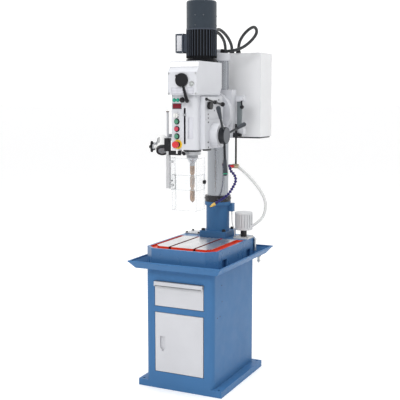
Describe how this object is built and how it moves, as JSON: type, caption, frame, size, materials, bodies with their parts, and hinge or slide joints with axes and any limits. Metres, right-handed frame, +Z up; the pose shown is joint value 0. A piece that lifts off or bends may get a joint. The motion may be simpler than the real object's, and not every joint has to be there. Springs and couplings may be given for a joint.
{
  "type": "geared drill press",
  "caption": "Column drill press with a geared head, tilting and height-adjustable on the column, coolant pump, T-slot base table, swing guard, lamp and a cabinet stand with drawer and door.",
  "frame": {"origin": "on the floor, at the centre of the four bolt holes in the stand's plinth", "axes": "+Z up, -Y towards the operator, +X to the operator's right"},
  "size_m": [0.5362, 0.8395, 1.997],
  "materials": {
    "blue paint": "semi-gloss enamel",
    "grey panel": "satin enamel",
    "white paint": "semi-gloss enamel",
    "ground steel": "ground",
    "black steel": "black oxide",
    "motor paint": "satin enamel",
    "cover paint": "textured enamel",
    "hub grey": "satin enamel",
    "black plastic": "moulded",
    "pump grey": "moulded",
    "white plastic": "moulded",
    "clear sheet": "clear",
    "red plastic": "moulded",
    "green plastic": "moulded",
    "brass": "machined",
    "clear hose": "clear",
    "violet plastic": "moulded",
    "yellow plastic": "moulded",
    "black rubber": "moulded",
    "bronze steel": "bronze oxide"
  },
  "bodies": {
    "stand": {"cabinet_stand": "blue paint", "drip_tray": "blue paint", "base_table": "blue paint", "column_foot": "blue paint", "column_tube": "ground steel", "column_rack": "ground steel", "rack_ring": "black steel", "column_cap": "white paint", "coolant_pump": "pump grey", "pump_lead": "black rubber", "coolant_hose": "clear hose", "conduit_loop": "black rubber"},
    "drawer": {"drawer": "grey panel"},
    "cabinet door": {"cabinet_door": "grey panel"},
    "sleeve": {"column_sleeve": "white paint", "electrical_box": "white paint", "electrical_lid": "white paint", "coolant_clamp": "black steel", "coolant_rod": "black steel", "coolant_valve": "brass", "jointed_hose": "violet plastic", "coolant_nozzle": "yellow plastic", "motor_conduits": "black rubber"},
    "clamp lever": {"clamp_lever": "black steel"},
    "lift crank": {"lift_pinion": "ground steel", "lift_crank": "black steel"},
    "valve handle": {"valve_handle": "red plastic"},
    "head": {"head_casting": "white paint", "gearbox_case": "white paint", "motor_frame": "motor paint", "fan_cover": "cover paint", "shaft_bearings": "ground steel", "guard_post": "white plastic", "lamp_bracket": "black steel"},
    "motor": {"motor_rotor": "ground steel"},
    "intermediate gear": {"intermediate_gear": "ground steel"},
    "spindle gear": {"spindle_gear": "ground steel"},
    "quill": {"quill": "ground steel", "quill_bearings": "ground steel", "depth_pointer": "ground steel"},
    "spindle": {"spindle": "ground steel", "drill_bit": "bronze steel"},
    "feed handles": {"feed_pinion": "ground steel", "feed_hub": "hub grey", "feed_rods": "black steel", "feed_grips": "black plastic"},
    "speed lever": {"speed_lever": "black plastic"},
    "range knob": {"range_knob": "black plastic"},
    "feed selector": {"feed_selector": "black plastic"},
    "feed lever": {"feed_lever": "black plastic"},
    "start button": {"start_button": "green plastic"},
    "stop button": {"stop_button": "red plastic"},
    "tap button": {"tap_button": "green plastic"},
    "emergency stop": {"emergency_stop": "red plastic"},
    "mode switch": {"mode_switch": "white plastic"},
    "quill lock": {"quill_lock": "black plastic"},
    "guard": {"guard_arm": "hub grey", "upper_shield": "clear sheet"},
    "lower shield": {"lower_shield": "clear sheet"},
    "lamp": {"lamp_head": "white plastic"}
  },
  "joints": [
    {"name": "drawer_slide", "type": "slide", "parent": "stand", "child": "drawer", "axis": [0, -1, 0], "range_m": [0, 0.36]},
    {"name": "door_hinge", "type": "hinge", "parent": "stand", "child": "cabinet door", "pos_m": [0.128, -0.269, 0.25], "axis": [0, 0, 1], "range_deg": [0, 110]},
    {"name": "head_lift", "type": "slide", "parent": "stand", "child": "sleeve", "axis": [0, 0, 1], "range_m": [-0.06, 0.14], "deforming": ["coolant_hose", "conduit_loop"]},
    {"name": "clamp_lever_turn", "type": "hinge", "parent": "sleeve", "child": "clamp lever", "pos_m": [0.149, 0.17, 1.499], "axis": [0, 1, 0], "range_deg": [-90, 0]},
    {"name": "lift_crank_turn", "type": "hinge", "parent": "sleeve", "child": "lift crank", "pos_m": [0, 0.2896, 1.48], "axis": [1, 0, 0], "range_deg": [-170, 385]},
    {"name": "valve_turn", "type": "hinge", "parent": "sleeve", "child": "valve handle", "pos_m": [0.112, 0.148, 1.137], "axis": [0, 1, 0], "range_deg": [0, 90]},
    {"name": "head_tilt", "type": "hinge", "parent": "sleeve", "child": "head", "pos_m": [0, 0.105, 1.42], "axis": [0, 1, 0], "range_deg": [-30, 30], "deforming": ["motor_conduits"]},
    {"name": "motor_spin", "type": "hinge", "parent": "head", "child": "motor", "pos_m": [0, -0.01, 1.77], "axis": [0, 0, 1], "continuous": true},
    {"name": "intermediate_spin", "type": "hinge", "parent": "head", "child": "intermediate gear", "pos_m": [0.01054, -0.065, 1.6], "axis": [0, 0, 1], "continuous": true},
    {"name": "spindle_gear_spin", "type": "hinge", "parent": "head", "child": "spindle gear", "pos_m": [0, -0.12, 1.6], "axis": [0, 0, 1], "continuous": true},
    {"name": "quill_feed", "type": "slide", "parent": "head", "child": "quill", "axis": [0, 0, -1], "range_m": [0, 0.12], "stiffness_N_per_m": 300, "springref_m": -0.6},
    {"name": "spindle_spin", "type": "hinge", "parent": "quill", "child": "spindle", "pos_m": [0, -0.12, 1.3], "axis": [0, 0, 1], "continuous": true},
    {"name": "feed_turn", "type": "hinge", "parent": "head", "child": "feed handles", "pos_m": [0.1, -0.067, 1.312], "axis": [1, 0, 0], "range_deg": [0, 344]},
    {"name": "speed_lever_turn", "type": "hinge", "parent": "head", "child": "speed lever", "pos_m": [0, -0.24, 1.59], "axis": [0, 1, 0], "range_deg": [-42, 0]},
    {"name": "range_knob_pull", "type": "slide", "parent": "head", "child": "range knob", "axis": [0, -1, 0], "range_m": [0, 0.012]},
    {"name": "feed_selector_turn", "type": "hinge", "parent": "head", "child": "feed selector", "pos_m": [0.1, -0.14, 1.464], "axis": [1, 0, 0], "range_deg": [0, 90]},
    {"name": "feed_lever_turn", "type": "hinge", "parent": "head", "child": "feed lever", "pos_m": [0.1, -0.08, 1.48], "axis": [1, 0, 0], "range_deg": [-40, 0]},
    {"name": "start_button_press", "type": "slide", "parent": "head", "child": "start button", "axis": [0, 1, 0], "range_m": [0, 0.003], "stiffness_N_per_m": 600, "springref_m": -0.003},
    {"name": "stop_button_press", "type": "slide", "parent": "head", "child": "stop button", "axis": [0, 1, 0], "range_m": [0, 0.003], "stiffness_N_per_m": 600, "springref_m": -0.003},
    {"name": "tap_button_press", "type": "slide", "parent": "head", "child": "tap button", "axis": [0, 1, 0], "range_m": [0, 0.003], "stiffness_N_per_m": 600, "springref_m": -0.003},
    {"name": "emergency_stop_press", "type": "slide", "parent": "head", "child": "emergency stop", "axis": [0, 1, 0], "range_m": [0, 0.005]},
    {"name": "mode_switch_turn", "type": "hinge", "parent": "head", "child": "mode switch", "pos_m": [-0.041, -0.22, 1.415], "axis": [0, 1, 0], "range_deg": [-60, 60]},
    {"name": "quill_lock_turn", "type": "hinge", "parent": "head", "child": "quill lock", "pos_m": [-0.038, -0.182, 1.24], "axis": [0, 0, 1], "range_deg": [-30, 40]},
    {"name": "guard_swing", "type": "hinge", "parent": "head", "child": "guard", "pos_m": [-0.1, -0.2, 1.26], "axis": [0, 0, 1], "range_deg": [-100, 0]},
    {"name": "lower_shield_slide", "type": "slide", "parent": "guard", "child": "lower shield", "axis": [0, 0, 1], "range_m": [0, 0.075]},
    {"name": "lamp_tilt", "type": "hinge", "parent": "head", "child": "lamp", "pos_m": [-0.19, -0.154, 1.251], "axis": [1, 0, 0], "range_deg": [-35, 35]}
  ],
  "couplings": [
    {"joint": "lift_crank_turn", "follows": "head_lift", "rad_per_m": 47.619},
    {"joint": "intermediate_spin", "follows": "motor_spin", "ratio": -0.75},
    {"joint": "spindle_gear_spin", "follows": "motor_spin", "ratio": 0.41667},
    {"joint": "spindle_spin", "follows": "motor_spin", "ratio": 0.41667},
    {"joint": "feed_turn", "follows": "quill_feed", "rad_per_m": 50}
  ]
}
